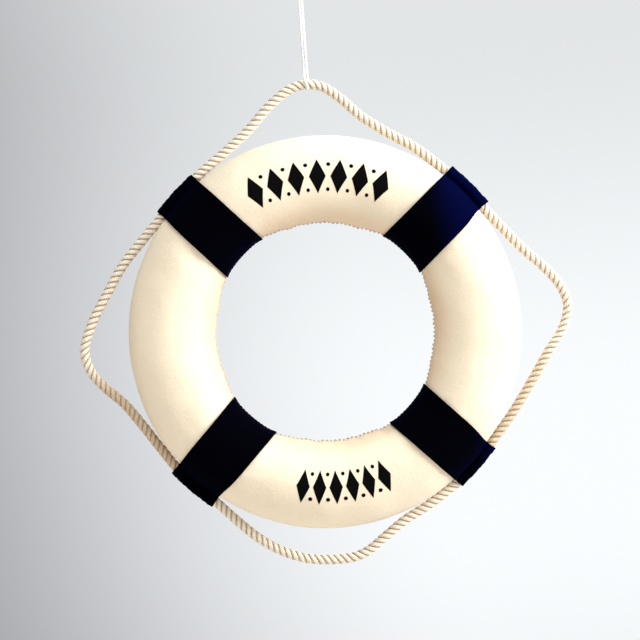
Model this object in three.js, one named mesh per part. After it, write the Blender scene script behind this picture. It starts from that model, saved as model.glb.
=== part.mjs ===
// Ring lifebuoy of the small decorative kind: a foam ring in a stitched canvas cover, four cloth
// bands that hold a grab rope to it, and a doubled cord that hangs it up by the rope.
// Frame: millimetres, +Z up, ring upright with its axis along Y and its front towards -Y,
// origin at the middle of the ring.
import * as THREE from 'three';
import { mergeVertices } from 'three/addons/utils/BufferGeometryUtils.js';

// Ring
const ringOuterRadius = 175;
const ringInnerRadius = 98;
const ringDepth = 58;
const coverThickness = 0.8;
const gap = 0.35;

// Grab rope
const ropeDiameter = 9;

// Bands
const bandWidth = 45;
const bandThickness = 0.9;
const bandAngles = { upper_right: 41.3, upper_left: 133.4, lower_left: 225.9, lower_right: 314.7 };
const bandClearance = 0.5;
const ropeClearance = 0.7;

// Seams
const seamThreadDiameter = 0.9;
const creaseThreadDiameter = 1.0;
const seamTuck = 2;

// Crease between ring and rope: where the cloth leaves the ring, its lowest line, and where it
// bends round the rope, in degrees
const creaseStart = 22;
const creaseSetback = 0.6;
const creaseRise = 0.9;
const creaseClearance = 0.9;
const ropeTurns = [105, 70, 35, 0];

// Hanging cord: it passes the rope's front as [offset, depth, drop below the bight's top], and the
// rope's underside as [turn in degrees, offset]
const cordDiameter = 2.3;
const cordX = -1;
const crownHeight = 220.5;
const bightRise = 13;
const bightClearance = 1;
const bightLead = [0, 2];
const bightPass = [[1.3, 1.8, 5], [1.1, 5.4, 9]];
const bightUnder = [[200, -0.6], [235, 0], [270, 0.6], [305, 0.9], [340, 1.0]];
const cordLegGap = 0.3;
const cordLegLength = 68;
const knotLength = 9;
const knotDiameter = 8;
const knotShoulder = 0.9;
const knotShoulderHeight = 0.2;
const eyeLength = 26;
const eyeWidth = 15;
const eyeOutline = [[0.9, 0.75], [1, 0.45]];
const eyeNeck = [1.3, 0.1];

// Facets
const ringSteps = 64;
const sectionSteps = 18;
const bandSteps = 4;
const bandFaceSteps = 12;
const ropeSteps = 80;
const ropeSides = 10;
const cordSides = 8;
const threadSides = 6;
const seamSteps = 16;
const bightSteps = 24;
const legSteps = 4;
const eyeSteps = 20;
const knotSides = 12;
const lineDivisions = 2000;
const mergeDistance = 1e-4;

const tubeRadius = (ringOuterRadius - ringInnerRadius) / 2;
const sectionRadius = (ringOuterRadius + ringInnerRadius) / 2;
const halfDepth = ringDepth / 2;
const ropeRadius = ropeDiameter / 2;
const ropeSeat = ringOuterRadius + ropeClearance + ropeRadius;
const tunnelRadius = ropeRadius + ropeClearance;
const slitHalfWidth = seamThreadDiameter / 2 + gap;

const canvas = { color: 0xece3cd, roughness: 0.9, metalness: 0 };
const navy = { color: 0x0b1030, roughness: 0.85, metalness: 0 };
const rope = { color: 0xe6dabd, roughness: 0.95, metalness: 0 };
const whiteCord = { color: 0xf4f2ea, roughness: 0.8, metalness: 0 };
const foam = { color: 0xf7f7f5, roughness: 0.7, metalness: 0 };
const thread = { color: 0xe2d8be, roughness: 0.9, metalness: 0 };
const navyThread = { color: 0x070a1c, roughness: 0.9, metalness: 0 };

const buoy = new THREE.Group();

const radians = (degrees) => THREE.MathUtils.degToRad(degrees);

function addPiece(name, geometry, look) {
  const mesh = new THREE.Mesh(geometry, new THREE.MeshStandardMaterial(look));
  mesh.name = name;
  buoy.add(mesh);
}

// A closed skin from rows of points. Each row is a closed section; the rows join end to end, or
// the first and last are capped with a fan of the triangles that `cap` gives.
function skin(rows, closedRows, cap) {
  const points = rows.flat();
  const size = rows[0].length;
  const faces = [];
  const spans = closedRows ? rows.length : rows.length - 1;
  for (let row = 0; row < spans; row += 1) {
    const next = (row + 1) % rows.length;
    for (let step = 0; step < size; step += 1) {
      const after = (step + 1) % size;
      const [a, b] = [row * size + step, row * size + after];
      const [c, d] = [next * size + after, next * size + step];
      faces.push(a, b, c, a, c, d);
    }
  }
  if (!closedRows) {
    const last = (rows.length - 1) * size;
    for (const [a, b, c] of cap) {
      faces.push(a, c, b, last + a, last + b, last + c);
    }
  }
  const geometry = new THREE.BufferGeometry();
  const numbers = points.flatMap((point) => [point.x, point.y, point.z]);
  geometry.setAttribute('position', new THREE.Float32BufferAttribute(numbers, 3));
  geometry.setIndex(faces);
  return facingOut(geometry);
}

// Turns every face round when the skin's volume comes out negative.
function facingOut(geometry) {
  const position = geometry.attributes.position;
  const index = geometry.index.array;
  const [a, b, c] = [new THREE.Vector3(), new THREE.Vector3(), new THREE.Vector3()];
  let volume = 0;
  for (let i = 0; i < index.length; i += 3) {
    a.fromBufferAttribute(position, index[i]);
    b.fromBufferAttribute(position, index[i + 1]);
    c.fromBufferAttribute(position, index[i + 2]);
    volume += a.dot(b.cross(c));
  }
  if (volume < 0) {
    for (let i = 0; i < index.length; i += 3) {
      [index[i + 1], index[i + 2]] = [index[i + 2], index[i + 1]];
    }
  }
  geometry.computeVertexNormals();
  return geometry;
}

// A point of the ring at an angle about Y, from its distance to the ring's axis and its depth.
function onRing(angle, radius, depth) {
  return new THREE.Vector3(radius * Math.cos(angle), depth, radius * Math.sin(angle));
}

// The ring's oval section, a layer of cloth further out or in: distance from the axis, and depth.
function ovalPoint(turn, layer) {
  const radius = sectionRadius + (tubeRadius + layer) * Math.cos(turn);
  return [radius, (halfDepth + layer) * Math.sin(turn)];
}

// Pairs of faces between the outer line of a C-shaped section and its inner line.
function shellCap(count) {
  const triangles = [];
  for (let step = 0; step < count - 1; step += 1) {
    const [inner, innerNext] = [2 * count - 1 - step, 2 * count - 2 - step];
    triangles.push([step, step + 1, innerNext], [step, innerNext, inner]);
  }
  return triangles;
}

// Foam core: a moulded ring, as large as the cover leaves room for.
function foamCore() {
  const rows = [];
  for (let step = 0; step < ringSteps; step += 1) {
    const angle = (2 * Math.PI * step) / ringSteps;
    const row = [];
    for (let part = 0; part < sectionSteps; part += 1) {
      const [radius, depth] = ovalPoint((2 * Math.PI * part) / sectionSteps, -coverThickness - gap);
      row.push(onRing(angle, radius, depth));
    }
    rows.push(row);
  }
  return skin(rows, true);
}

// Cover panel: a quarter of the canvas, wrapped round the core from one side of the inner seam to
// the other. Its ends meet the next panels under the middle of two bands.
function coverPanel(from, to) {
  const seamTurn = Math.PI - Math.asin(slitHalfWidth / halfDepth);
  const rows = [];
  const endGap = gap / 2 / sectionRadius;
  const span = radians(to - from) - 2 * endGap;
  const steps = Math.round((ringSteps * span) / (2 * Math.PI));
  for (let step = 0; step <= steps; step += 1) {
    const angle = radians(from) + endGap + (span * step) / steps;
    const outer = [];
    const inner = [];
    for (let part = 0; part <= sectionSteps; part += 1) {
      const turn = -seamTurn + (2 * seamTurn * part) / sectionSteps;
      outer.push(onRing(angle, ...ovalPoint(turn, 0)));
      inner.push(onRing(angle, ...ovalPoint(turn, -coverThickness)));
    }
    rows.push([...outer, ...inner.reverse()]);
  }
  return skin(rows, false, shellCap(sectionSteps + 1));
}

// Thread of the whip-stitched inner seam: a bead in the slit between the cover's two edges, from
// just under one band to just under the next.
function coverSeam(from, to) {
  const radius = ringInnerRadius + seamThreadDiameter / 2;
  const hidden = Math.asin((bandWidth / 2 - seamTuck) / radius);
  const points = [];
  for (let step = 0; step <= seamSteps; step += 1) {
    const share = step / seamSteps;
    const angle = THREE.MathUtils.lerp(radians(from) + hidden, radians(to) - hidden, share);
    points.push(onRing(angle, radius, 0));
  }
  return tubeAlong(points, seamThreadDiameter, seamSteps, threadSides);
}

// A round tube along a smooth line through the points.
function tubeAlong(points, diameter, steps, sides) {
  const section = new THREE.Shape();
  for (let side = 0; side < sides; side += 1) {
    const turn = (2 * Math.PI * (side + 0.5)) / sides;
    const corner = [(diameter / 2) * Math.cos(turn), (diameter / 2) * Math.sin(turn)];
    if (side === 0) {
      section.moveTo(...corner);
    } else {
      section.lineTo(...corner);
    }
  }
  section.closePath();
  const line = new THREE.CatmullRomCurve3(points, false, 'centripetal');
  line.arcLengthDivisions = lineDivisions;
  const tube = new THREE.ExtrudeGeometry(section, { steps, extrudePath: line, bevelEnabled: false });
  tube.deleteAttribute('normal');
  tube.deleteAttribute('uv');
  return facingOut(mergeVertices(tube, mergeDistance));
}

// A point of a band: across is the distance from the band's middle line, along the ring. The
// strip's sides are parallel, so each section is cut square to the middle line.
function onBand(angle, radius, depth, across) {
  const away = Math.sqrt(radius * radius - across * across);
  const x = away * Math.cos(angle) - across * Math.sin(angle);
  const z = away * Math.sin(angle) + across * Math.cos(angle);
  return new THREE.Vector3(x, depth, z);
}

// Half of the line that a band's inner face follows in section, from the inner seam over the front
// of the ring, down into the crease and round the rope, as [distance from the axis, depth].
function bandLine() {
  const line = [];
  const seam = Math.PI - Math.asin(slitHalfWidth / (halfDepth + bandClearance));
  for (let step = 0; step <= bandFaceSteps; step += 1) {
    const turn = THREE.MathUtils.lerp(seam, radians(creaseStart), step / bandFaceSteps);
    line.push(ovalPoint(turn, bandClearance));
  }
  line.push([ringOuterRadius + creaseSetback, tunnelRadius + creaseRise]);
  for (const turn of ropeTurns.map(radians)) {
    line.push([ropeSeat + tunnelRadius * Math.cos(turn), tunnelRadius * Math.sin(turn)]);
  }
  return line;
}

// The same line pushed out square to itself.
function pushedOut(line, distance) {
  return line.map((point, place) => {
    const before = line[Math.max(place - 1, 0)];
    const after = line[Math.min(place + 1, line.length - 1)];
    const along = new THREE.Vector2(after[0] - before[0], after[1] - before[1]).normalize();
    return [point[0] - along.y * distance, point[1] + along.x * distance];
  });
}

// Front half and mirrored back half as one line from seam to seam.
function mirrored(half) {
  const back = half.slice(0, -1).reverse().map(([radius, depth]) => [radius, -depth]);
  return [...half, ...back];
}

// The half line with its last point back on the ring's middle plane.
function squareEnd(line) {
  return [...line.slice(0, -1), [ropeSeat + tunnelRadius + bandThickness, 0]];
}

const bandInside = mirrored(bandLine());
const bandOutside = mirrored(squareEnd(pushedOut(bandLine(), bandThickness)));

// Band: a parallel-sided strip of navy cloth round ring and rope, open along the inner seam.
function band(angle) {
  const rows = [];
  for (let step = 0; step <= bandSteps; step += 1) {
    const across = bandWidth * (step / bandSteps - 0.5);
    const outer = bandOutside.map(([radius, depth]) => onBand(angle, radius, depth, across));
    const inner = bandInside.map(([radius, depth]) => onBand(angle, radius, depth, across));
    rows.push([...outer, ...inner.reverse()]);
  }
  return skin(rows, false, shellCap(bandInside.length));
}

// Thread along a band, at one distance from the axis and one depth.
function bandThread(angle, radius, depth, diameter) {
  const points = [];
  const reach = bandWidth / 2 - seamTuck;
  for (let step = 0; step <= bandSteps; step += 1) {
    points.push(onBand(angle, radius, depth, reach * ((2 * step) / bandSteps - 1)));
  }
  return tubeAlong(points, diameter, bandSteps, threadSides);
}

// Grab rope, as [angle about the axis in degrees, distance from the axis, depth], from its end in
// the lower left tunnel once round the ring. It lies on the ring at the bands and stands out
// between them.
const ropeRoute = [
  [226.1, 180.3, 0], [233, 180.8, 0], [240.5, 185.4, -1], [248, 193, -2], [255, 199, -3],
  [262.5, 202.7, -3], [272.5, 202.4, -3], [277, 198.8, -3], [282.5, 189.8, -3], [289, 182.2, -2],
  [297, 180.5, -1], [306.5, 180.3, 0], [314.7, 180.3, 0],
  [323, 180.3, 0], [331, 182, 1], [339, 186.6, 2], [345.5, 193, 3], [351, 200.6, 4],
  [356.5, 212, 5], [362, 218.1, 5], [367, 214.2, 5], [372.5, 203.6, 4], [378, 192.4, 2],
  [385, 184.2, 1], [394.5, 180.3, 0], [401.3, 180.3, 0],
  [409.5, 180.3, 0], [420, 182.6, 0], [429, 186.2, 0], [436.5, 194.8, 0], [442, 207.8, 0],
  [446.7, 218.5, 0], [450.4, 220.9, 0], [454.2, 218.4, 0], [460, 206.8, 0], [466.5, 192.6, 0],
  [474, 184, 0], [484, 180.4, 0], [493.4, 180.3, 0],
  [502, 180.3, 0], [510, 183, -1], [518, 189.6, -3], [526.5, 197.4, -4], [534, 207.4, -5],
  [540.5, 214.4, -5], [545.5, 211.4, -5], [550.5, 201.2, -4], [555.5, 190.2, -3],
  [562.5, 183, -2], [570.5, 180.5, 0], [578, 180.3, 0], [585.7, 180.3, 0],
];

const bightRadius = ropeRadius + bightClearance + cordDiameter / 2;
const bightTop = crownHeight + bightRise;
const legTop = bightTop + cordLegLength;
const legOffset = (cordDiameter + cordLegGap) / 2;

// Bight: the hanging cord's bend round the rope at the crown, one leg down the front and one up
// the back, both rising to the middle above the rope.
function cordBight() {
  const down = [
    ...bightLead.map((drop) => [legOffset, 0, drop]),
    ...bightPass,
  ];
  const front = down.map(([x, depth, drop]) => new THREE.Vector3(cordX - x, -depth, bightTop - drop));
  const back = down.map(([x, depth, drop]) => new THREE.Vector3(cordX + x, depth, bightTop - drop));
  const under = bightUnder.map(([degrees, x]) => {
    const turn = radians(degrees);
    const [y, z] = [bightRadius * Math.cos(turn), bightRadius * Math.sin(turn)];
    return new THREE.Vector3(cordX + x, y, crownHeight + z);
  });
  return tubeAlong([...front, ...under, ...back.reverse()], cordDiameter, bightSteps, cordSides);
}

function cordLeg(side) {
  const x = cordX + side * legOffset;
  const points = [new THREE.Vector3(x, 0, bightTop + gap), new THREE.Vector3(x, 0, legTop)];
  return tubeAlong(points, cordDiameter, legSteps, cordSides);
}

// Knot: both legs tied in one overhand knot under the eye.
function cordKnot() {
  const base = legTop + gap;
  const half = knotDiameter / 2;
  const neck = legOffset + cordDiameter / 2;
  const shoulder = [half * knotShoulder, knotLength * knotShoulderHeight];
  const outline = [
    [0, 0], [neck, 0], shoulder, [half, knotLength / 2],
    [shoulder[0], knotLength - shoulder[1]], [neck, knotLength], [0, knotLength],
  ];
  const profile = outline.map(([radius, height]) => new THREE.Vector2(radius, height));
  const knot = new THREE.LatheGeometry(profile, knotSides);
  knot.rotateX(Math.PI / 2);
  knot.translate(cordX, 0, base);
  knot.deleteAttribute('normal');
  knot.deleteAttribute('uv');
  return facingOut(mergeVertices(knot, mergeDistance));
}

// Eye: the open loop above the knot that goes over a hook.
function cordEye() {
  const base = legTop + gap + knotLength + gap;
  const half = eyeWidth / 2 - cordDiameter / 2;
  const height = eyeLength - cordDiameter / 2;
  const side = [
    ...eyeOutline.map(([x, share]) => [x * half, share * height]),
    [legOffset * eyeNeck[0], height * eyeNeck[1]],
    [legOffset, 0],
  ];
  const outline = [...side.map(([x, z]) => [-x, z]).reverse(), [0, height], ...side];
  const points = outline.map(([x, z]) => new THREE.Vector3(cordX + x, 0, base + z));
  return tubeAlong(points, cordDiameter, eyeSteps, cordSides);
}

addPiece('foam_core', foamCore(), foam);

const quarters = {
  top: [bandAngles.upper_right, bandAngles.upper_left],
  left: [bandAngles.upper_left, bandAngles.lower_left],
  bottom: [bandAngles.lower_left, bandAngles.lower_right],
  right: [bandAngles.lower_right, bandAngles.upper_right + 360],
};
for (const [side, [from, to]] of Object.entries(quarters)) {
  addPiece(`cover_panel_${side}`, coverPanel(from, to), canvas);
  addPiece(`cover_seam_${side}`, coverSeam(from, to), thread);
}

const creasePlace = bandOutside[bandFaceSteps + 1];
const creaseAway = creaseThreadDiameter / 2 + creaseClearance;
for (const [corner, degrees] of Object.entries(bandAngles)) {
  const angle = radians(degrees);
  addPiece(`band_${corner}`, band(angle), navy);
  const seamRadius = ringInnerRadius - bandClearance - bandThickness / 2;
  addPiece(`band_seam_${corner}`, bandThread(angle, seamRadius, 0, seamThreadDiameter), navyThread);
  for (const [face, way] of [['front', -1], ['back', 1]]) {
    const depth = way * (creasePlace[1] + creaseAway);
    const name = `crease_stitch_${corner}_${face}`;
    addPiece(name, bandThread(angle, creasePlace[0], depth, creaseThreadDiameter), navyThread);
  }
}

const ropePoints = ropeRoute.map(([angle, radius, depth]) => onRing(radians(angle), radius, depth));
addPiece('grab_rope', tubeAlong(ropePoints, ropeDiameter, ropeSteps, ropeSides), rope);
addPiece('hanging_cord_bight', cordBight(), whiteCord);
addPiece('hanging_cord_left_leg', cordLeg(-1), whiteCord);
addPiece('hanging_cord_right_leg', cordLeg(1), whiteCord);
addPiece('hanging_cord_knot', cordKnot(), whiteCord);
addPiece('hanging_cord_eye', cordEye(), whiteCord);

export default buoy;
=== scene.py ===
import math

import bpy
import numpy as np
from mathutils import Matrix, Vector, noise


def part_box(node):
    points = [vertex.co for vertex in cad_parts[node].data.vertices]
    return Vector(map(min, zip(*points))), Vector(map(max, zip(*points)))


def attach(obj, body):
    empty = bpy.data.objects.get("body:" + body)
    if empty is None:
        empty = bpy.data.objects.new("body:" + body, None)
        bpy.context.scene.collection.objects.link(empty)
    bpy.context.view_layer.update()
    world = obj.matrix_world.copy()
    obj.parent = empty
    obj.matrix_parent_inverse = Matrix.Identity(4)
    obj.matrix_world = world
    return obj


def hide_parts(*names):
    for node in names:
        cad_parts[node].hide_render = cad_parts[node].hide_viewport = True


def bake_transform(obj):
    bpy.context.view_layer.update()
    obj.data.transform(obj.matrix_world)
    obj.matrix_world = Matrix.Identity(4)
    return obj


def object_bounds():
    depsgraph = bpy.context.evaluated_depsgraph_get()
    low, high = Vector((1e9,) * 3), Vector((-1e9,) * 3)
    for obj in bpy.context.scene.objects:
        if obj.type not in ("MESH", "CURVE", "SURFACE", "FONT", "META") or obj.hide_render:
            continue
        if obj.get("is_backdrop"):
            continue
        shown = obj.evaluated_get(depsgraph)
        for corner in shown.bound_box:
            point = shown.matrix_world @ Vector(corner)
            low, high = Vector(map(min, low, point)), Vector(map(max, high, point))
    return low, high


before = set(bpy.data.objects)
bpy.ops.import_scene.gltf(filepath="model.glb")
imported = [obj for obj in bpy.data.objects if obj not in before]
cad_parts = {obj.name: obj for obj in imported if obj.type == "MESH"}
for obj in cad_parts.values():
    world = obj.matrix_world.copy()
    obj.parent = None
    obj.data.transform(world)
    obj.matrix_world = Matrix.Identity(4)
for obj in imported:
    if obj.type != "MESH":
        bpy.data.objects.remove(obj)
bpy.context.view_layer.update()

# Camera
# It stands two metres in front of the ring, level with it, and leans four degrees to one side, so
# the cord that the ring hangs by runs up a little to the left.
camera_distance = 2.0
camera_lean = math.radians(4.1)
width_in_view = 0.5706
view_middle = (-0.0038, 0.0107)
film_width = 36
camera = bpy.data.objects.new("camera", bpy.data.cameras.new("camera"))
camera.data.sensor_width = film_width
camera.data.lens = film_width * camera_distance / width_in_view
camera.location = (view_middle[0], -camera_distance, view_middle[1])
camera.rotation_euler = (math.pi / 2, camera_lean, 0)
bpy.context.collection.objects.link(camera)
bpy.context.scene.camera = camera

# Grab rope
# One length of 9 mm cotton rope, right-hand laid from three strands of soft yarn. Its two ends
# meet inside the lower left band; it lies on the ring at the bands and stands out between them.
rope_diameter = 0.009
rope_lay = 0.0176
rope_spacing = 0.0011
strands = 3
# Degrees about the ring's axis, then millimetres from the axis and in depth
rope_route = [
    (226.1, 179.4, 0), (233, 180.2, 0), (240.5, 185.4, -1), (248, 193, -2), (255, 199, -3),
    (262.5, 202.7, -3), (272.5, 202.4, -3), (277, 198.8, -3), (282.5, 189.8, -3), (289, 182.2, -2),
    (297, 179.8, -1), (306.5, 179.0, 0), (314.7, 178.4, 0),
    (323, 178.4, 0), (331, 181.6, 1), (339, 186.6, 2), (345.5, 193, 3), (351, 200.6, 4),
    (356.5, 212, 5), (362, 218.1, 5), (367, 214.2, 5), (372.5, 203.6, 4), (378, 192.4, 2),
    (385, 184.2, 1), (394.5, 179.4, 0), (401.3, 179.4, 0),
    (409.5, 179.4, 0), (420, 182.6, 0), (429, 186.2, 0), (436.5, 194.8, 0), (442, 207.8, 0),
    (446.7, 218.5, 0), (450.4, 220.9, 0), (454.2, 218.4, 0), (460, 206.8, 0), (466.5, 192.6, 0),
    (474, 184, 0), (484, 179.6, 0), (493.4, 178.3, 0),
    (502, 178.3, 0), (510, 182.4, -1), (518, 189.6, -3), (526.5, 197.4, -4), (534, 207.4, -5),
    (540.5, 214.4, -5), (545.5, 211.4, -5), (550.5, 201.2, -4), (555.5, 190.2, -3),
    (562.5, 183, -2), (570.5, 179.8, 0), (578, 179.4, 0), (585.7, 179.4, 0),
]


def on_ring(angle, radius, depth):
    """Points at an angle about the ring's axis, from their distance to it and their depth."""
    return np.stack(np.broadcast_arrays(radius * np.cos(angle), depth, radius * np.sin(angle)), -1)


def walked_along(line):
    """How far along the line each of its points is."""
    return np.concatenate([[0], np.cumsum(np.linalg.norm(np.diff(line, axis=0), axis=1))])


def length_of(line):
    return float(walked_along(line)[-1])


def evenly(line, spacing):
    """The same line with its points a set distance apart."""
    walked = walked_along(line)
    stops = np.linspace(0, walked[-1], max(2, round(walked[-1] / spacing)) + 1)
    return np.stack([np.interp(stops, walked, line[:, axis]) for axis in range(3)], -1)


def smooth_line(points, spacing, steps=60):
    """Even points along the centripetal Catmull-Rom line through the points."""
    ends = [2 * points[0] - points[1], 2 * points[-1] - points[-2]]
    points = np.vstack([ends[0], points, ends[1]])
    dense = []
    for p in zip(points, points[1:], points[2:], points[3:]):
        knot = np.cumsum([0] + [np.linalg.norm(b - a) ** 0.5 for a, b in zip(p, p[1:])])
        t = np.linspace(knot[1], knot[2], steps, endpoint=False)[:, None]

        def between(a, b, low, high):
            return (a * (knot[high] - t) + b * (t - knot[low])) / (knot[high] - knot[low])

        first = [between(p[i], p[i + 1], i, i + 1) for i in range(3)]
        second = [between(first[i], first[i + 1], i, i + 2) for i in range(2)]
        dense.append(between(second[0], second[1], 1, 2))
    return evenly(np.vstack(dense + [points[-2][None]]), spacing)


def line_frames(line, start):
    """Two directions square to a line at each point, which turn as little as they can."""
    tangent = np.gradient(line, axis=0)
    tangent /= np.linalg.norm(tangent, axis=1)[:, None]
    side = np.zeros_like(line)
    side[0] = np.asarray(start, float)
    for i in range(len(line)):
        carried = side[max(i - 1, 0)]
        carried = carried - tangent[i] * (carried @ tangent[i])
        side[i] = carried / np.linalg.norm(carried)
    return side, np.cross(tangent, side)


def add_mesh(name, points, faces, corners=None, smooth=True):
    """A mesh object, with a UV map if the faces' corners have coordinates."""
    mesh = bpy.data.meshes.new(name)
    mesh.from_pydata(np.asarray(points, float).tolist(), [], [list(map(int, f)) for f in faces])
    if corners is not None:
        cloth = mesh.uv_layers.new(name="cloth")
        cloth.data.foreach_set("uv", np.asarray(corners, np.float32).ravel())
    mesh.polygons.foreach_set("use_smooth", [smooth] * len(mesh.polygons))
    mesh.update()
    piece = bpy.data.objects.new(name, mesh)
    bpy.context.collection.objects.link(piece)
    return piece


def strand_outline(diameter, lay, sides):
    """The outer side of one strand in a cut across the rope: for points from groove to groove, the
    turn about the rope, the distance from its middle and the turn round the strand, in turns."""
    strand = diameter / 2 / (1 + 1 / math.sin(math.pi / strands))
    offset = diameter / 2 - strand
    wide = strand * math.hypot(1, 2 * math.pi * offset / lay)
    turn = np.pi / strands * np.linspace(-1, 1, sides + 1)
    a = (np.cos(turn) / strand) ** 2 + (np.sin(turn) / wide) ** 2
    b = -2 * offset * np.cos(turn) / strand**2
    c = (offset / strand) ** 2 - 1
    reach = (-b + np.sqrt(np.maximum(b * b - 4 * a * c, 0))) / (2 * a)
    around = np.arctan2(reach * np.sin(turn) / wide, (reach * np.cos(turn) - offset) / strand)
    return turn, reach, around / (2 * np.pi)


def laid_rope(name, line, diameter, lay, sides, fullness, start=(0, 1, 0)):
    """A right-hand laid rope with round ends. Fullness says how far soft yarn fills its grooves. Its
    UV map holds the turn round each strand and the distance along the rope."""
    turn, reach, around = strand_outline(diameter, lay, sides)
    columns = strands * sides
    angle = np.concatenate([turn[:-1] + 2 * np.pi * k / strands for k in range(strands)])
    reach = np.tile(reach[:-1], strands) * (1 - fullness) + fullness * diameter / 2
    side, up = line_frames(line, start)
    walked = walked_along(line)
    spin = (angle[None] + 2 * np.pi * walked[:, None] / lay)[..., None]
    from_end = np.minimum(walked, walked[-1] - walked)
    rounding = np.sqrt(1 - (1 - np.clip(from_end / (0.3 * diameter), 0.02, 1)) ** 2)
    size = (reach[None] * rounding[:, None])[..., None]
    rings = line[:, None] + size * (np.cos(spin) * side[:, None] + np.sin(spin) * up[:, None])

    count = len(line)
    points = np.vstack([rings.reshape(-1, 3), line[:1], line[-1:]])
    row, column = np.meshgrid(np.arange(count - 1), np.arange(columns), indexing="ij")
    after = (column + 1) % columns
    quads = np.stack([row * columns + column, row * columns + after,
                      (row + 1) * columns + after, (row + 1) * columns + column], -1).reshape(-1, 4)
    first = np.tile(around[:-1], strands)
    second = np.tile(around[1:], strands)
    corners = [np.stack([np.broadcast_to(turned, row.shape), walked[place]], -1)
               for turned, place in ((first, row), (second, row), (second, row + 1), (first, row + 1))]
    corners = np.stack(corners, 2).reshape(-1, 2)
    last = (count - 1) * columns
    start_cap = [(count * columns, (k + 1) % columns, k) for k in range(columns)]
    end_cap = [(count * columns + 1, last + k, last + (k + 1) % columns) for k in range(columns)]
    corners = np.vstack([corners, np.zeros((6 * columns, 2))])
    return add_mesh(name, points, quads.tolist() + start_cap + end_cap, corners)


class Amount:
    """One socket of a node tree. Arithmetic on amounts adds the Math nodes that do it."""

    def __init__(self, nodes, socket):
        self.nodes = nodes
        self.socket = socket

    def output(self, key):
        """Another output of the same node."""
        return Amount(self.nodes, self.socket.node.outputs[key])

    def math(self, operation, *others):
        return self.nodes.add("ShaderNodeMath", {"operation": operation}, self, *others)

    def __add__(self, other):
        return self.math("ADD", other)

    def __sub__(self, other):
        return self.math("SUBTRACT", other)

    def __mul__(self, other):
        return self.math("MULTIPLY", other)

    def __truediv__(self, other):
        return self.math("DIVIDE", other)

    def __pow__(self, other):
        return self.math("POWER", other)

    def __rsub__(self, other):
        return self.nodes.add("ShaderNodeMath", {"operation": "SUBTRACT"}, other, self)

    __radd__ = __add__
    __rmul__ = __mul__

    def __neg__(self):
        return self.math("MULTIPLY", -1.0)

    def __abs__(self):
        return self.math("ABSOLUTE")

    def sine(self):
        return self.math("SINE")

    def between(self, low, high):
        """0 below low, 1 above high, and smooth between them."""
        settings = {"interpolation_type": "SMOOTHSTEP"}
        return self.nodes.add("ShaderNodeMapRange", settings, self, low, high, 0.0, 1.0)


class Nodes:
    """The nodes of a material, of the surround or of a geometry tree."""

    def __init__(self, tree):
        self.tree = tree

    def feed(self, socket, value):
        """Gives a socket its link or its constant."""
        if isinstance(value, Amount):
            self.tree.links.new(value.socket, socket)
        elif value is not None:
            socket.default_value = value

    def add(self, kind, settings=None, *values, out=0, **named):
        """A node of any type, with its settings, the values or links of its first sockets in
        order, and those of its other sockets by name."""
        node = self.tree.nodes.new(kind)
        for key, value in (settings or {}).items():
            setattr(node, key, value)
        for place, value in enumerate(values):
            self.feed(node.inputs[place], value)
        for key, value in named.items():
            self.feed(node.inputs[key.replace("_", " ")], value)
        return Amount(self, node.outputs[out])

    def blend(self, factor, low, high):
        """One colour where factor is 0 and another where it is 1."""
        return self.add("ShaderNodeMix", {"data_type": "RGBA"}, factor, *[None] * 5, low, high, out=2)


class Finish(Nodes):
    """A material: a Principled shader whose own sockets hold what is the same all over, and the
    nodes that add() makes for what changes over the surface."""

    def __init__(self, name, **constants):
        self.material = bpy.data.materials.new(name)
        self.material.use_nodes = True
        super().__init__(self.material.node_tree)
        self.shader = self.tree.nodes["Principled BSDF"]
        self.set(**constants)

    def set(self, **sockets):
        """Feeds the shader's own sockets."""
        for name, value in sockets.items():
            self.feed(self.shader.inputs[name.replace("_", " ")], value)

    def place(self):
        """The piece's own coordinates, in metres."""
        return self.add("ShaderNodeTexCoord", out="Object")

    def cloth_map(self):
        """The two coordinates of the piece's own UV map."""
        split = self.add("ShaderNodeSeparateXYZ", None, self.add("ShaderNodeUVMap", {"uv_map": "cloth"}))
        return split, split.output("Y")

    def cloud(self, scale, detail=3.0, roughness=0.55):
        """Soft noise in the piece's own coordinates, from 0 to 1."""
        return self.add("ShaderNodeTexNoise", None, Vector=self.place(), Scale=scale, Detail=detail,
                        Roughness=roughness)

    def raise_by(self, height, distance, strength=1.0, under=None):
        """A bump from a height between 0 and 1, that many metres deep."""
        return self.add("ShaderNodeBump", None, Height=height, Distance=distance, Strength=strength,
                        Normal=under)


def yarn_finish(name, pale, deep, lay, yarns, relief, darkened=()):
    """Soft spun yarn laid in strands: the yarns lie nearly along the rope. The grooves between the
    strands and the hollows between the yarns hold painted shade, with dust over it all at random.
    Darkened stretches, each a place, a reach and an amount, are painted browner."""
    finish = Finish(name, Roughness=0.92, Sheen_Weight=0.08, Sheen_Roughness=0.5, Specular_IOR_Level=0.2)
    around, along = finish.cloth_map()
    waver = finish.cloud(260.0, 2.0) - 0.5
    yarn_slope = 1.9 / lay
    turn = (around + along * yarn_slope) * yarns + waver * 0.35
    ridge = abs((turn * math.pi).sine()) ** 0.6
    fibres = finish.cloud(2600.0, 2.0, 0.6)
    groove = abs(around).between(0.07, 0.32)
    dust = finish.cloud(45.0, 3.0)
    # Painted shade in the grooves and between the yarns, and real dust at random.
    shade = groove * 0.66 + (1 - ridge) * 0.16 + (1 - dust) * 0.12
    colour = finish.blend(shade, pale, deep)
    # Painted browner at each stretch; the lower left one is painted shadow of the ring.
    for place, reach, amount in darkened:
        distance = {"operation": "DISTANCE"}
        away = finish.add("ShaderNodeVectorMath", distance, finish.place(), place, out="Value")
        colour = finish.blend((1 - away.between(reach / 2, reach)) * amount, colour, deep)
    finish.set(Base_Color=colour)
    finish.set(Normal=finish.raise_by(ridge * 0.75 + fibres * 0.25, relief, 0.7))
    return finish.material


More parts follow.
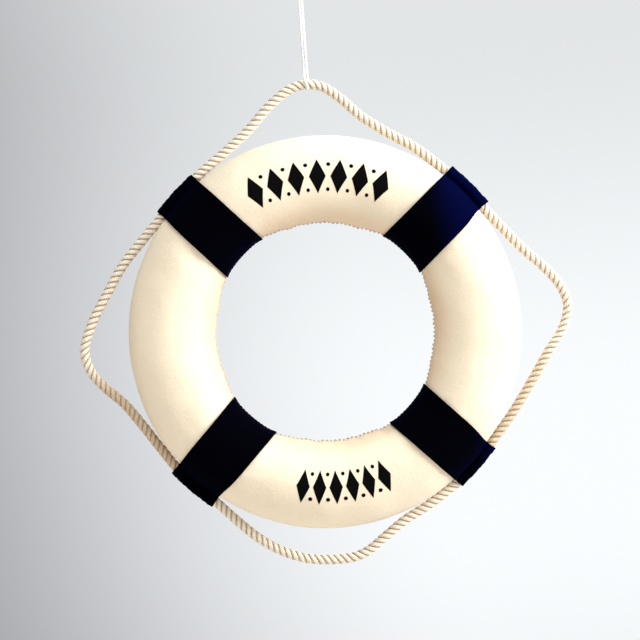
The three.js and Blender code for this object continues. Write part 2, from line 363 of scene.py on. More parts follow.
rope_points = np.vstack([on_ring(math.radians(a), r / 1000, d / 1000) for a, r, d in rope_route])
rope_line = smooth_line(rope_points, rope_spacing)
grab_rope = laid_rope("grab_rope_cotton", rope_line, rope_diameter, rope_lay, sides=14, fullness=0.18)
# Two stretches painted browner, on the lower left and the lower right of the ring; the lower left one is
# painted shadow of the ring.
browner_stretches = [((-0.168, 0, -0.078), 0.085, 0.60), ((0.168, 0, -0.085), 0.080, 0.45)]
rope_cotton = yarn_finish("rope_cotton", (0.91, 0.82, 0.67, 1), (0.42, 0.26, 0.13, 1), rope_lay,
                          yarns=12, relief=0.00045, darkened=browner_stretches)
grab_rope.data.materials.append(rope_cotton)
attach(grab_rope, "buoy")
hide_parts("grab_rope")
evenly(rope_line, 0.004)

# Hanging cord
# A thin white cotton cord, doubled: down one leg, under the rope at the crown and up the other
# leg, into the knot below its eye.
cord_diameter = 0.0023
cord_lay = 0.0046
cord_spacing = 0.0005
cord_bite = 0.0011
leg_tuck = 0.004
left_low, left_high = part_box("hanging_cord_left_leg")
_, right_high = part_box("hanging_cord_right_leg")
cord_x = (left_low.x + right_high.x) / 2
leg_x = 0.48 * cord_diameter
legs_top = left_high.z + leg_tuck
# The point of the rope's upper half that is nearest to the cord
crown = rope_line[np.argmin(abs(rope_line[:, 0] - cord_x) + 10 * (rope_line[:, 2] < 0))]
legs_middle = (left_high.z + crown[2]) / 2 + 0.01
bear = rope_diameter / 2 + cord_diameter / 2 - cord_bite
# Offsets from the rope's middle at the crown, down the front, under the rope and up the back
bight = [
    (-leg_x, 0, 0.0125), (-leg_x, -0.0004, 0.0105), (-1.05 * leg_x, -0.0026, 0.0074),
    (-0.75 * leg_x, -0.0044, 0.0040), (0.1 * leg_x, -bear, 0), (0.7 * leg_x, -0.72 * bear, -0.58 * bear),
    (0.95 * leg_x, 0, -0.80 * bear), (0.9 * leg_x, 0.72 * bear, -0.58 * bear), (1.05 * leg_x, bear, 0),
    (1.1 * leg_x, 0.0048, 0.0042), (1.05 * leg_x, 0.0026, 0.0078), (leg_x, 0.0004, 0.0105),
    (leg_x, 0, 0.0125),
]


def white_cord(name, points, start=(0, 1, 0)):
    """A piece of the cord along a smooth line through the points, and that line."""
    line = smooth_line(np.array(points), cord_spacing)
    piece = laid_rope(name, line, cord_diameter, cord_lay, sides=8, fullness=0.97, start=start)
    piece.data.materials.append(cord_cotton)
    return piece, line


cord_cotton = yarn_finish("cord_cotton", (0.95, 0.94, 0.91, 1), (0.90, 0.87, 0.82, 1), cord_lay,
                          yarns=4, relief=0.00002)
cord_points = [(cord_x - leg_x, 0, legs_top), (cord_x - leg_x, 0, legs_middle)]
cord_points += [(cord_x + x, crown[1] + y, crown[2] + z) for x, y, z in bight]
cord_points += [(cord_x + leg_x, 0, legs_middle), (cord_x + leg_x, 0, legs_top)]
hanging_cord, cord_line = white_cord("hanging_cord_cotton", cord_points)

# Knot and eye
# Above the view the cord's tail is wound three times round its two legs and pulled tight, and
# the loop left above the windings is the eye that goes over a hook.
knot_low, knot_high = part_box("hanging_cord_knot")
eye_low, eye_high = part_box("hanging_cord_eye")
knot_turns = 3
knot_flatness = 0.86
knot_ease = 0.0002
winding = (knot_high.x - knot_low.x) / 2 - cord_diameter / 2 - knot_ease
step = np.linspace(0, 1, 160)
turning = 2 * np.pi * knot_turns * step
knot_rise = knot_low.z + cord_diameter / 2 + step * (knot_high.z - knot_low.z - cord_diameter)
windings = np.stack([cord_x + winding * np.cos(turning), winding * knot_flatness * np.sin(turning),
                     knot_rise], -1)
tail = windings[-1] + np.array([[0.0004, 0.0016, 0.0006], [-0.001, 0.0042, 0.0016], [-0.003, 0.0058, 0.003]])
tuck = windings[0] + np.array([[-0.003, -0.001, -0.0002], [-0.0018, -0.0008, -0.0001]])
knot_points = np.vstack([tuck, windings[::10], windings[-1:], tail])
cord_knot, _ = white_cord("cord_knot", knot_points, (0, 0, 1))
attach(cord_knot, "hanger")
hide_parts("hanging_cord_knot")

eye_half = (eye_high.x - eye_low.x) / 2 - cord_diameter / 2
eye_tall = eye_high.z - cord_diameter / 2 - knot_low.z
# Sideways, and as a share of the eye's height
eye_half_shape = [(leg_x, 0.05), (leg_x, 0.30), (1.6 * leg_x, 0.42), (eye_half, 0.66), (0.8 * eye_half, 0.87)]
eye_shape = [(-x, share) for x, share in eye_half_shape] + [(0, 1.0)] + eye_half_shape[::-1]
eye_points = [(cord_x + x, 0, knot_low.z + share * eye_tall) for x, share in eye_shape]
cord_eye, _ = white_cord("cord_eye", eye_points)
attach(cord_eye, "hanger")
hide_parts("hanging_cord_eye")

bend_top = (cord_x, 0, crown[2] + 0.020)
bend_foot = (cord_x, 0, crown[2] + 0.006)
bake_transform(hanging_cord)
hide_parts("hanging_cord_bight", "hanging_cord_left_leg", "hanging_cord_right_leg")
evenly(cord_line, 0.001)

# Foam core
# A moulded ring of white expanded foam beads, hidden under the cover. The tight bands have
# pressed it in, most on the inner side, where the cloth pulls hardest.
_, core_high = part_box("foam_core")
cover_low, cover_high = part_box("cover_panel_top")
cloth_thickness = 0.0008
core_gap = 0.0004
cover_over_core = 0.00115
ring_outer = core_high.x + cover_over_core
ring_inner = 0.098
half_depth = (cover_high.y - cover_low.y) / 2
half_width = (ring_outer - ring_inner) / 2
section_radius = (ring_outer + ring_inner) / 2
band_width = 0.045
band_degrees = {"upper_right": 41.3, "upper_left": 133.4, "lower_left": 225.9, "lower_right": 314.7}
band_angles = {corner: math.radians(degrees) for corner, degrees in band_degrees.items()}
inner_squeeze = 0.0032
outer_squeeze = 0.0006
squeeze_reach = 0.026
squeeze_start = 0.42 * band_width
band_quarter = 0.7
core_rows = 240
core_columns = 72


def smoothed(value, low, high):
    """0 below low, 1 above high, and smooth between them."""
    share = np.clip((value - low) / (high - low), 0, 1)
    return share * share * (3 - 2 * share)


def across_band(angle, radius, corner):
    """How far a point lies from a band's middle line, along the ring, or a metre where it is in the
    quarter of another band."""
    away = (angle - band_angles[corner] + np.pi) % (2 * np.pi) - np.pi
    return np.where(abs(away) < band_quarter, abs(radius * np.sin(away)), 1.0)


def ring_skin(angle, turn, layer):
    """Points of the ring at angles about its axis and turns round its oval section, a distance
    further out than the cover's face, pressed in near the bands."""
    angle, turn, layer = np.broadcast_arrays(angle, turn, layer)
    radius = section_radius + half_width * np.cos(turn)
    inner_side = smoothed(-np.cos(turn), -0.2, 1.0)
    squeeze = outer_squeeze + (inner_squeeze - outer_squeeze) * inner_side
    squeeze_end = band_width / 2 + squeeze_reach
    pressed = sum(1 - smoothed(across_band(angle, radius, corner), squeeze_start, squeeze_end)
                  for corner in band_angles)
    out = layer - squeeze * pressed
    radius = section_radius + (half_width + out) * np.cos(turn)
    return on_ring(angle, radius, (half_depth + out) * np.sin(turn))


def closed_grid(points):
    """Quads over a grid of points whose rows and columns both close on themselves."""
    rows, columns = points.shape[:2]
    row, column = np.meshgrid(np.arange(rows), np.arange(columns), indexing="ij")
    below, right = (row + 1) % rows, (column + 1) % columns
    return np.stack([row * columns + column, below * columns + column,
                     below * columns + right, row * columns + right], -1).reshape(-1, 4)


core_angles = np.linspace(0, 2 * np.pi, core_rows, endpoint=False)[:, None]
core_turns = np.linspace(0, 2 * np.pi, core_columns, endpoint=False)[None]
core_grid = ring_skin(core_angles, core_turns, -cloth_thickness - core_gap)
foam_core = add_mesh("foam_core_beads", core_grid.reshape(-1, 3), closed_grid(core_grid))
bead_foam = Finish("bead_foam", Roughness=0.7, Subsurface_Weight=0.1, Subsurface_Radius=(0.002, 0.002, 0.002))
bead_gap = bead_foam.add("ShaderNodeTexVoronoi", {"feature": "DISTANCE_TO_EDGE"}, Vector=bead_foam.place(),
                         Scale=320.0)
bead_edge = bead_gap.between(0.0, 0.12)
# Painted shade in the gaps between the beads, which the bump also sinks.
bead_foam.set(Base_Color=bead_foam.blend(bead_edge, (0.78, 0.78, 0.76, 1), (0.93, 0.93, 0.91, 1)))
bead_foam.set(Normal=bead_foam.raise_by(bead_edge, 0.0004))
foam_core.data.materials.append(bead_foam.material)
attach(foam_core, "buoy")
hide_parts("foam_core")

# Canvas cover
# Four panels of cream cotton duck, each wrapped round the core and drawn together on the ring's
# inner line; their ends meet under the bands. The stitches gather the slack of the inner side.
panel_ends = {"top": ("upper_right", "upper_left"), "left": ("upper_left", "lower_left"),
              "bottom": ("lower_left", "lower_right"), "right": ("lower_right", "upper_right")}
panel_girth = 2 * math.pi * math.sqrt((half_width**2 + half_depth**2) / 2)
panel_step = 0.0017
end_gap = 0.0002
seam_gap = 0.00025
seam_turn = math.pi - seam_gap / half_depth
stitch_pitch = 0.0039
gather_height, gather_reach = 0.00055, 0.0035
pucker_height, pucker_reach = 0.00028, 0.010
pull_height, pull_reach = 0.00036, 0.011
flat_lump, full_lump = 0.0003, 0.0009


def cover_relief(angle, turn):
    """How far the canvas stands off its even shape: gathers beside the inner seam, creases that
    run out from the bands, and broad soft lumps."""
    angle, turn = np.broadcast_arrays(angle, turn)
    radius = section_radius + half_width * np.cos(turn)
    from_seam = (np.pi - abs(turn)) * half_depth
    stitches = 2 * np.pi * ring_inner * angle / stitch_pitch
    gather = gather_height * np.exp(-from_seam / gather_reach) * (0.5 + 0.5 * np.cos(stitches))
    slow = np.cos(stitches / 3.3 + 1.7 * np.sin(angle * 5)) + 0.7 * np.cos(stitches / 5.1)
    pucker = pucker_height * np.exp(-from_seam / pucker_reach) * slow
    beyond = np.min([across_band(angle, radius, corner) for corner in band_angles], axis=0) - band_width / 2
    creases = np.sin(turn * 9 + 2.2 * np.sin(turn * 4 + angle * 3))
    pull = pull_height * np.exp(-np.clip(beyond, 0, 1) / pull_reach) * creases
    spots = on_ring(angle, radius, half_depth * np.sin(turn)).reshape(-1, 3)
    lumps = np.array([noise.noise(spot * 20) + 0.6 * noise.noise(spot * 44) for spot in map(Vector, spots)])
    lumps = (flat_lump + full_lump * abs(np.sin(turn))) * lumps.reshape(angle.shape)
    free = smoothed(beyond, -0.003, 0.008)
    return (gather + pucker + pull + lumps) * free


def panel_span(side):
    """The angles of the middles of the two bands that a panel's ends lie under."""
    low, high = [band_angles[corner] for corner in panel_ends[side]]
    return low, high + (2 * math.pi if high < low else 0)


def cloth_shell(name, face, back, widths, lengths):
    """A closed piece of cloth between two grids of points, its face and its back. Its UV map holds
    distances over the flat cloth."""
    rows, columns = face.shape[:2]
    points = np.vstack([face.reshape(-1, 3), back.reshape(-1, 3)])
    row, column = np.meshgrid(np.arange(rows - 1), np.arange(columns - 1), indexing="ij")
    steps = ((0, 0), (1, 0), (1, 1), (0, 1))
    corner = [(row + i) * columns + column + j for i, j in steps]
    place = [np.stack([lengths[row + i], widths[column + j]], -1) for i, j in steps]
    faces = np.stack(corner, -1).reshape(-1, 4)
    uv = np.stack(place, 2).reshape(-1, 2)
    backs = faces[:, ::-1] + rows * columns
    back_uv = uv.reshape(-1, 4, 2)[:, ::-1].reshape(-1, 2)
    grid = np.arange(rows * columns).reshape(rows, columns)
    rim = np.concatenate([grid[0, :], grid[1:, -1], grid[-1, -2::-1], grid[-2:0:-1, 0]])
    after = np.roll(rim, -1)
    wall = np.stack([rim, after, after + rows * columns, rim + rows * columns], -1)
    flat = np.stack(np.meshgrid(lengths, widths, indexing="ij"), -1).reshape(-1, 2)
    wall_uv = np.stack([flat[rim], flat[after], flat[after], flat[rim]], 1).reshape(-1, 2)
    return add_mesh(name, points, np.vstack([faces, backs, wall]), np.vstack([uv, back_uv, wall_uv]))


def canvas_weave(finish, pitch):
    """The height of a plain weave, over one and under the next, from the cloth's own map."""
    along, across = finish.cloth_map()
    wobble = finish.cloud(500.0, 2.0) * 0.35
    warp = (along / pitch + wobble) * math.pi
    weft = (across / pitch + wobble) * math.pi
    over = warp.sine() * weft.sine()
    ribs = abs((warp + math.pi / 2).sine()) + abs((weft + math.pi / 2).sine())
    return over * 0.25 + ribs * 0.25 + 0.25


def canvas_finish(name, pale, deep, inner_edge_colour):
    """Woven cotton with slubs, darker and browner towards the ring's inner edge."""
    finish = Finish(name, Roughness=0.88, Sheen_Weight=0.08, Sheen_Roughness=0.5, Specular_IOR_Level=0.3)
    weave = canvas_weave(finish, 0.0007)
    age = finish.cloud(9.0, 4.0)
    slub = finish.cloud(160.0, 2.0, 0.6)
    grain = finish.cloud(620.0, 2.0, 0.7)
    # Random tone from age, slubs and grain, with painted shade in the weave's hollows.
    shade = age * 0.4 + slub * 0.25 + grain * 0.35 + (1 - weave) * 0.25 - 0.1
    cloth = finish.blend(shade, pale, deep)
    level = finish.add("ShaderNodeVectorMath", {"operation": "MULTIPLY"}, finish.place(), (1, 0, 1))
    from_axis = finish.add("ShaderNodeVectorMath", {"operation": "LENGTH"}, level, out="Value")
    # Darker and browner towards the ring's inner edge, all the way round.
    darkened = (1 - from_axis.between(0.098, 0.117)) * (0.42 + age * 0.3)
    finish.set(Base_Color=finish.blend(darkened, cloth, inner_edge_colour))
    rough = finish.raise_by(grain, 0.0006, 0.6, finish.raise_by(slub, 0.0009, 0.35))
    finish.set(Normal=finish.raise_by(weave, 0.00022, 0.7, rough))
    return finish.material


canvas = canvas_finish("cream_canvas", pale=(0.88, 0.76, 0.575, 1), deep=(0.79, 0.64, 0.455, 1),
                       inner_edge_colour=(0.66, 0.45, 0.27, 1))
for side in panel_ends:
    low, high = panel_span(side)
    low, high = low + end_gap / section_radius, high - end_gap / section_radius
    span = np.linspace(low, high, round((high - low) * ring_outer / panel_step) + 1)
    turns = np.linspace(-seam_turn, seam_turn, round(panel_girth / panel_step) + 1)
    relief = cover_relief(span[:, None], turns[None])
    face = ring_skin(span[:, None], turns[None], relief)
    back = ring_skin(span[:, None], turns[None], relief - cloth_thickness)
    widths = turns * panel_girth / (2 * np.pi)
    panel = cloth_shell(f"cover_panel_{side}_canvas", face, back, widths, span * section_radius)
    panel.data.materials.append(canvas)
    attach(panel, "buoy")
    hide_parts(f"cover_panel_{side}")
    (high - low) * ring_outer
    (high - low) * section_radius * panel_girth

# Inner seam
# A whip stitch of waxed cotton thread over the two edges of each cover panel, from under one band
# to under the next. Each stitch slants across the seam and bites into the cloth.
thread_diameter = 0.0009
thread_lift = 0.0001
seam_tuck = 0.002
points_per_stitch = 8


def stitch_tree():
    """Geometry nodes that lay stitches along a line. The line's points hold the way that faces out
    of the cloth; each stitch is a bent length of thread, a little different from the last."""
    tree = bpy.data.node_groups.new("stitches", "GeometryNodeTree")
    kinds = {"Line": "Geometry", "Spacing": "Float", "Thread": "Float", "Half across": "Float",
             "Half along": "Float", "Rise": "Float", "Sink": "Float", "Unevenness": "Float",
             "Seed": "Int", "Material": "Material"}
    for name, kind in kinds.items():
        tree.interface.new_socket(name, in_out="INPUT", socket_type="NodeSocket" + kind)
    tree.interface.new_socket("Stitches", in_out="OUTPUT", socket_type="NodeSocketGeometry")
    sewing = Nodes(tree)
    inputs = sewing.add("NodeGroupInput")
    given = {name: inputs.output(name) for name in kinds}

    across, along, depth = given["Half across"], given["Half along"], -given["Sink"]
    start = sewing.add("ShaderNodeCombineXYZ", None, depth, -across, -along)
    peak = sewing.add("ShaderNodeCombineXYZ", None, given["Rise"])
    end = sewing.add("ShaderNodeCombineXYZ", None, depth, across, along)
    bent = sewing.add("GeometryNodeCurveQuadraticBezier", Resolution=7, Start=start, Middle=peak, End=end)
    round_thread = sewing.add("GeometryNodeCurvePrimitiveCircle", Resolution=6, Radius=given["Thread"] * 0.5)
    stitch = sewing.add("GeometryNodeCurveToMesh", Curve=bent, Profile_Curve=round_thread, Fill_Caps=True)

    line = sewing.add("GeometryNodeMeshToCurve", Mesh=given["Line"])
    spaced = sewing.add("GeometryNodeResampleCurve", {"mode": "LENGTH"}, Curve=line, Length=given["Spacing"])
    points = sewing.add("GeometryNodeCurveToPoints", {"mode": "EVALUATED"}, Curve=spaced)
    outward = sewing.add("GeometryNodeInputNamedAttribute", {"data_type": "FLOAT_VECTOR"}, Name="outward")
    turned = sewing.add("FunctionNodeAlignRotationToVector", {"axis": "Z"}, Vector=points.output("Tangent"))
    upright = sewing.add("FunctionNodeAlignRotationToVector", {"axis": "X", "pivot_axis": "Z"},
                         Rotation=turned, Vector=outward)
    least, most = 1.0 - given["Unevenness"], 1.0 + given["Unevenness"]
    size = sewing.add("FunctionNodeRandomValue", {"data_type": "FLOAT"}, None, None, least, most,
                      Seed=given["Seed"], out=1)
    laid = sewing.add("GeometryNodeInstanceOnPoints", Points=points, Instance=stitch, Rotation=upright,
                      Scale=size)
    real = sewing.add("GeometryNodeRealizeInstances", Geometry=laid)
    coloured = sewing.add("GeometryNodeSetMaterial", Geometry=real, Material=given["Material"])
    sewing.feed(tree.nodes.new("NodeGroupOutput").inputs[0], coloured)
    return tree


stitches = stitch_tree()


def sew(name, line, outward, **sizes):
    """Runs the stitch nodes along a line and keeps their result as a plain mesh."""
    mesh = bpy.data.meshes.new(name)
    mesh.from_pydata(line.tolist(), [(i, i + 1) for i in range(len(line) - 1)], [])
    facing = mesh.attributes.new("outward", "FLOAT_VECTOR", "POINT")
    facing.data.foreach_set("vector", outward.astype(np.float32).ravel())
    guide = bpy.data.objects.new(name + "_line", mesh)
    bpy.context.collection.objects.link(guide)
    modifier = guide.modifiers.new("stitches", "NODES")
    modifier.node_group = stitches
    for item in stitches.interface.items_tree:
        key = item.name.replace(" ", "_").lower()
        if item.in_out == "INPUT" and key in sizes:
            modifier[item.identifier] = sizes[key]
    bpy.context.view_layer.update()
    made = bpy.data.meshes.new_from_object(guide.evaluated_get(bpy.context.evaluated_depsgraph_get()))
    bpy.data.objects.remove(guide)
    made.name = name
    made.polygons.foreach_set("use_smooth", [True] * len(made.polygons))
    piece = bpy.data.objects.new(name, made)
    bpy.context.collection.objects.link(piece)
    return piece


def thread_finish(name, pale, deep, gloss):
    """Tightly twisted thread, mottled by its twist."""
    finish = Finish(name, Roughness=0.75, Specular_IOR_Level=gloss)
    twist = finish.cloud(1400.0, 2.0)
    finish.set(Base_Color=finish.blend(twist, deep, pale))
    finish.set(Normal=finish.raise_by(twist, 0.0002))
    return finish.material


seam_thread = thread_finish("waxed_seam_thread", (0.80, 0.64, 0.44, 1), (0.56, 0.40, 0.25, 1), 0.30)
for number, side in enumerate(panel_ends):
    low, high = panel_span(side)
    hidden = (band_width / 2 - seam_tuck) / ring_inner
    whole = round((high - low - 2 * hidden) * ring_inner / stitch_pitch)
    share = np.arange(points_per_stitch * whole + 1) / (points_per_stitch * whole) - 0.5
    span = share * whole * stitch_pitch / ring_inner + (low + high) / 2
    line = ring_skin(span, math.pi, cover_relief(span, seam_turn) + thread_lift)
    seam = sew(f"cover_seam_{side}_thread", line, -on_ring(span, 1.0, 0.0), spacing=stitch_pitch,
               thread=thread_diameter, half_across=0.0024, half_along=0.0009, rise=0.0013, sink=0.0002,
               unevenness=0.12, seed=number, material=seam_thread)
    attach(seam, "buoy")
    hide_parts(f"cover_seam_{side}")

# Printed marks
# Two arcs of plain black lozenges and dots, printed on the front of the top and the bottom panel
# in thick ink that follows the canvas.
ink_height = 0.00012
ink_sink = 0.0001
mark_middle = 0.1365
lozenge_height = 0.0300
lozenge_lift = 0.0005
dot_width = 0.0034
dot_lift = 0.0110
lozenge_steps = 14
dot_steps = 8
mark_cloth = 0.01
# Each arc's middle in degrees, its lozenges, the degrees between them and a lozenge's width
mark_rows = {"top": (88.8, 7, 7.9, 0.0148), "bottom": (273.0, 6, 6.1, 0.0118)}


def printed_shape(centre, offsets, lift):
    """The face and the back of one mark, from its offsets along the ring and away from its axis."""
    angle = centre - offsets[0] / mark_middle
    radius = mark_middle + lift + offsets[1]
    turn = -np.arccos(np.clip((radius - section_radius) / half_width, -1, 1))
    relief = cover_relief(angle, turn)
    return ring_skin(angle, turn, relief + ink_height), ring_skin(angle, turn, relief - ink_sink)


def square_grid(count):
    return np.meshgrid(np.linspace(-1, 1, count), np.linspace(-1, 1, count), indexing="ij")


def lozenge(width):
    """Offsets over a lozenge."""
    a, b = square_grid(lozenge_steps)
    return (a - b) / 2 * width / 2, (a + b) / 2 * lozenge_height / 2


def dot():
    """Offsets over a round dot."""
    a, b = square_grid(dot_steps)
    return a * np.sqrt(1 - b * b / 2) * dot_width / 2, b * np.sqrt(1 - a * a / 2) * dot_width / 2


ink = Finish("black_ink", Roughness=0.85, Specular_IOR_Level=0.05)
ink_weave = canvas_weave(ink, 0.0007)
worn = ink.cloud(700.0, 3.0).between(0.62, 0.8)
ink.set(Base_Color=ink.blend(worn, (0.0012, 0.0011, 0.0012, 1), (0.007, 0.006, 0.006, 1)))
ink.set(Normal=ink.raise_by(ink_weave, 0.0001, 0.6))
for side, (middle, count, spacing, width) in mark_rows.items():
    shapes = []
    for place in range(count):
        centre = math.radians(middle + (place - (count - 1) / 2) * spacing)
        shapes.append(printed_shape(centre, lozenge(width), lozenge_lift))
        if place < count - 1:
            between = centre + math.radians(spacing / 2)
            shapes += [printed_shape(between, dot(), lift) for lift in (-dot_lift, dot_lift)]
    joined = []
    for face, back in shapes:
        flat = np.linspace(0, mark_cloth, len(face))
        joined.append(cloth_shell("mark", face, back, flat, flat))
    marks = joined[0]
    marks.name = f"printed_marks_{side}"
    with bpy.context.temp_override(active_object=marks, selected_editable_objects=joined):
        bpy.ops.object.join()
    marks.data.materials.append(ink.material)
    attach(marks, "buoy")

# Cloth bands
# Four strips of very dark navy cotton, each pulled tight round ring and rope and closed on the
# inner side. Between ring and rope the strip is stitched down, which makes the rope's tunnel.
band_thickness = 0.0009
band_lift = 0.0005
band_seam_gap = 0.0004
band_seam_margin = 0.002
band_thread = 0.0007
band_edge = 0.008
hem_start, hem_end, hem_height = 0.0050, 0.0062, 0.00035
edge_round = 0.0006
edge_flare, flare_reach = 0.0004, 0.004
cloth_ridge = 0.00025
band_spacing = 0.0012
tunnel = rope_diameter / 2 + 0.0005
rope_seats = {"upper_right": 0.1801, "upper_left": 0.1781, "lower_left": 0.1801, "lower_right": 0.1781}
crease_turn = math.radians(14)
crease_foot = ring_outer + 0.0004
crease_seam = ring_outer + 0.0006
crease_depth = 0.0036
crease_pitch = 0.0056
crease_pucker = 0.0005
crease_reach = 0.013
# Each strip's cut, as a share of the bands' width, and how far its crease draws in its two edges
band_cuts = {"upper_right": (1.02, 0.085, 0.01), "upper_left": (1.02, 0.02, 0.04),
             "lower_left": (1.07, 0.02, 0.085), "lower_right": (1.02, 0.0, 0.085)}

near_edge = np.array([0, 0.0001, 0.0003, 0.0006, 0.0012, 0.0024, 0.0038, hem_start, 0.0056, hem_end])
inside = np.linspace(band_edge - band_width / 2, band_width / 2 - band_edge, 21)
band_across = np.concatenate([near_edge - band_width / 2, inside, band_width / 2 - near_edge[::-1]])


def band_ways(corner):
    """The ways away from the ring's axis and along the ring, at a band's middle."""
    angle = band_angles[corner]
    return on_ring(angle, 1.0, 0.0), np.array([-math.sin(angle), 0, math.cos(angle)])


def band_section(across, corner):
    """One line along the strip's middle layer, this far from its middle line: from the inner seam
    over the front, down the crease, round the rope and back behind."""
    angle = band_angles[corner]
    away, sideways = band_ways(corner)
    pucker = crease_pucker * np.cos(2 * np.pi * across / crease_pitch + angle)
    pucker += crease_pucker * np.cos(2 * np.pi * across / (2.7 * crease_pitch) + 3 * angle)
    turns = np.linspace(math.pi - band_seam_gap / half_depth, crease_turn, 60)
    ring_angle = angle + np.arcsin(across / (section_radius + half_width * np.cos(turns)))
    flare = edge_flare * smoothed(abs(across), band_width / 2 - flare_reach, band_width / 2)
    ridges = cloth_ridge * np.sin(turns * 7 + across * 90) * np.sin(np.pi * across / band_width)
    front = ring_skin(ring_angle, -turns, band_lift + band_thickness / 2 + flare + ridges)

    def at(radius, depth):
        return away * math.sqrt(radius**2 - across**2) + sideways * across + np.array([0, depth, 0])

    reach = tunnel + band_thickness / 2 + 0.3 * pucker
    crease = at(crease_foot, -(crease_depth + 0.6 * pucker))
    around_rope = [at(rope_seats[corner] + reach * math.cos(turn), -reach * math.sin(turn))
                   for turn in np.radians([122, 96, 68, 38, 12])]
    half = np.vstack([front, crease, around_rope])
    return np.vstack([half, half[::-1] * np.array([1, -1, 1])])


def band_grid(corner):
    """The strip's middle layer as a grid of points, gathered at the crease."""
    cut, gather_low, gather_high = band_cuts[corner]
    rows = [smooth_line(band_section(across, corner), band_spacing) for across in band_across * cut]
    shortest = min(map(len, rows))
    rows = [evenly(row, length_of(row) / (shortest - 1)) for row in rows]
    grid = np.stack([row[:shortest] for row in rows])
    sideways = band_ways(corner)[1]
    aside = grid @ sideways
    from_crease = np.hypot(grid[..., 0], grid[..., 2]) - ring_outer + 0.002
    gathered = np.where(aside < 0, gather_low, gather_high) * np.exp(-((from_crease / crease_reach) ** 2))
    return grid - (gathered * aside)[..., None] * sideways


def outward_normals(grid):
    normal = np.cross(np.gradient(grid, axis=1), np.gradient(grid, axis=0))
    return normal / np.linalg.norm(normal, axis=-1, keepdims=True)


def navy_finish():
    """Plain woven cotton, so dark a navy that it looks black; on the side towards the window, at the
    right, painted light makes it a lighter, bluer navy."""
    finish = Finish("navy_cloth", Roughness=0.8, Sheen_Weight=0.02, Sheen_Roughness=0.4,
                    Sheen_Tint=(0.02, 0.06, 0.9, 1), Specular_IOR_Level=0.01)
    weave = canvas_weave(finish, 0.00055)
    age = finish.cloud(30.0, 3.0)
    lint = finish.cloud(900.0, 4.0, 0.8).between(0.62, 0.80)
    rightwards = finish.add("ShaderNodeVectorMath", {"operation": "DOT_PRODUCT"}, finish.place(),
                            (1, 0, 0.12), out="Value")
    # Painted light: the right side, towards the window lamp, is painted a lighter, bluer navy.
    painted_window_light = rightwards.between(0.108, 0.138)
    # Random tone from age, and a painted highlight on the crowns of the threads.
    shade = weave**2 * 0.9 + age * 0.35 - 0.1
    cloth = finish.blend(shade, (0.0001, 0.0001, 0.0004, 1), (0.0002, 0.0003, 0.0024, 1))
    cloth = finish.blend(painted_window_light * (0.75 + age * 0.25), cloth, (0.0002, 0.0008, 0.0200, 1))
    finish.set(Base_Color=finish.blend(lint * 0.5, cloth, (0.003, 0.004, 0.012, 1)))
    finish.set(Normal=finish.raise_by(weave, 0.0003, 0.9))
    return finish.material


navy_cloth = navy_finish()
navy_thread = thread_finish("navy_thread", (0.001, 0.0016, 0.012, 1), (0.0004, 0.0006, 0.005, 1), 0.01)
from_edge = band_width / 2 - abs(band_across)
hem = hem_height * (1 - smoothed(from_edge, hem_start, hem_end))
fold = np.sqrt(1 - (1 - np.clip(from_edge / edge_round, 0.03, 1)) ** 2)
for number, corner in enumerate(band_angles):
    grid = band_grid(corner)
    normal = outward_normals(grid)
    face = grid + normal * ((band_thickness / 2 + hem) * fold)[:, None, None]
    back = grid - normal * (band_thickness / 2 * fold)[:, None, None]
    girth = length_of(grid[len(grid) // 2])
    band = cloth_shell(f"band_{corner}_cloth", face, back, np.linspace(0, girth, grid.shape[1]), band_across)
    band.data.materials.append(navy_cloth)
    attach(band, "buoy")
    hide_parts(f"band_{corner}")

    span = np.linspace(band_seam_margin - band_width / 2, band_width / 2 - band_seam_margin, 60)
    seam_angle = band_angles[corner] + np.arcsin(span / ring_inner)
    seam_line = ring_skin(seam_angle, math.pi, band_lift + band_thickness)
    band_seam = sew(f"band_seam_{corner}_thread", seam_line, -on_ring(seam_angle, 1.0, 0.0), spacing=0.0034,
                    thread=band_thread, half_across=0.0016, half_along=0.0007, rise=0.0001, sink=0.0003,
                    unevenness=0.1, seed=10 + number, material=navy_thread)
    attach(band_seam, "buoy")
    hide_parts(f"band_seam_{corner}")

    away, sideways = band_ways(corner)
    out = np.sqrt(crease_seam**2 - span**2)[:, None]
    for side, way in (("front", -1), ("back", 1)):
        facing = np.array([0.0, way, 0.0])
        crease_line = away * out + sideways * span[:, None] + facing * (crease_depth + band_thickness / 2)
        crease = sew(f"crease_stitch_{corner}_{side}_thread", crease_line, np.tile(facing, (len(span), 1)),
                     spacing=crease_pitch / 2, thread=band_thread, half_across=0.0, half_along=0.0010,
                     rise=0.0004, sink=0.0003, unevenness=0.1, seed=20 + 2 * number + (way > 0),
                     material=navy_thread)
        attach(crease, "buoy")
        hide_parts(f"crease_stitch_{corner}_{side}")

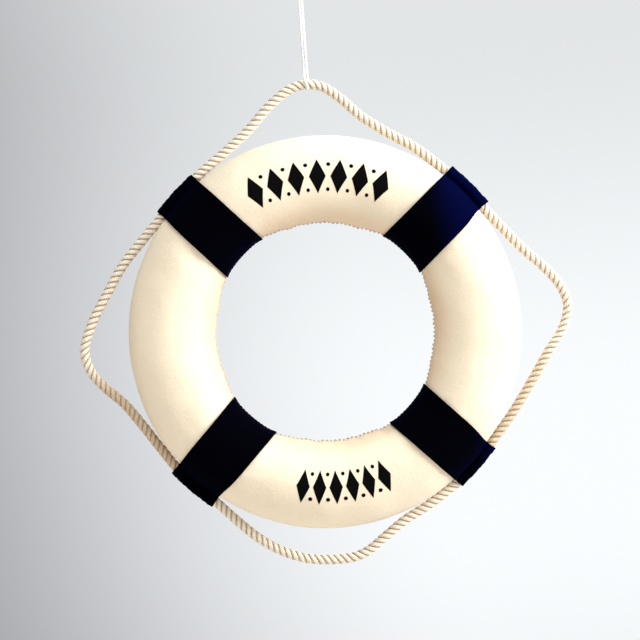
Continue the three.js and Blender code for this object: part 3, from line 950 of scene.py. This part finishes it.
# Floor and light
# A plain pale floor well below the hanging ring, and a pale blue-grey surround that is brighter on
# the right. Three broad soft lamps: the window on the right, the sky above, and the warm light that
# comes back from below on the left.
floor_radius = 8.0
floor_drop = 1.6
floor_turns = np.linspace(0, 2 * np.pi, 96, endpoint=False)
floor_rim = on_ring(floor_turns, floor_radius, 0.0)[:, [0, 2, 1]] - [0, 0, floor_drop]
floor = add_mesh("floor", floor_rim, [range(len(floor_rim))], smooth=False)
floor_paint = Finish("floor_paint", Roughness=0.9)
uneven_paint = floor_paint.blend(floor_paint.cloud(1.5), (0.72, 0.73, 0.74, 1), (0.78, 0.79, 0.80, 1))
floor_paint.set(Base_Color=uneven_paint)
floor.data.materials.append(floor_paint.material)
floor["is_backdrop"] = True

world = bpy.data.worlds.new("surround")
bpy.context.scene.world = world
world.use_nodes = True
surround = Nodes(world.node_tree)
rightwards = surround.add("ShaderNodeSeparateXYZ", None, surround.add("ShaderNodeTexCoord", out="Generated"))
upwards = rightwards.output("Z")
bright_side = (upwards * 0.2 + rightwards).between(-0.25, 0.04)
tone = surround.blend(bright_side, (0.32, 0.325, 0.35, 1), (0.96, 0.985, 1.0, 1))
off_level = abs(upwards + 0.07).between(0.02, 0.20)
dimmed = surround.add("ShaderNodeVectorMath", {"operation": "SCALE"}, tone, Scale=1 - off_level * 0.20)
surround.feed(world.node_tree.nodes["Background"].inputs["Color"], dimmed)


def lamp(name, place, size, power, colour):
    """A round soft lamp that points at the ring."""
    light = bpy.data.lights.new(name, "AREA")
    light.shape = "DISK"
    light.size = size
    light.energy = power
    light.color = colour
    holder = bpy.data.objects.new(name, light)
    holder.location = place
    holder.rotation_euler = (-Vector(place)).to_track_quat("-Z", "Y").to_euler()
    bpy.context.collection.objects.link(holder)


lamp("window_lamp", (2.27, -0.67, 0.87), 1.1, 97, (0.98, 0.98, 1.0))
lamp("sky_lamp", (0.3, -0.9, 2.2), 1.4, 42, (0.86, 0.94, 1.0))
lamp("bounce_lamp", (-1.35, -1.3, -1.4), 2.2, 28, (1.0, 0.91, 0.79))
bpy.context.scene.view_settings.view_transform = "Standard"

low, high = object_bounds()
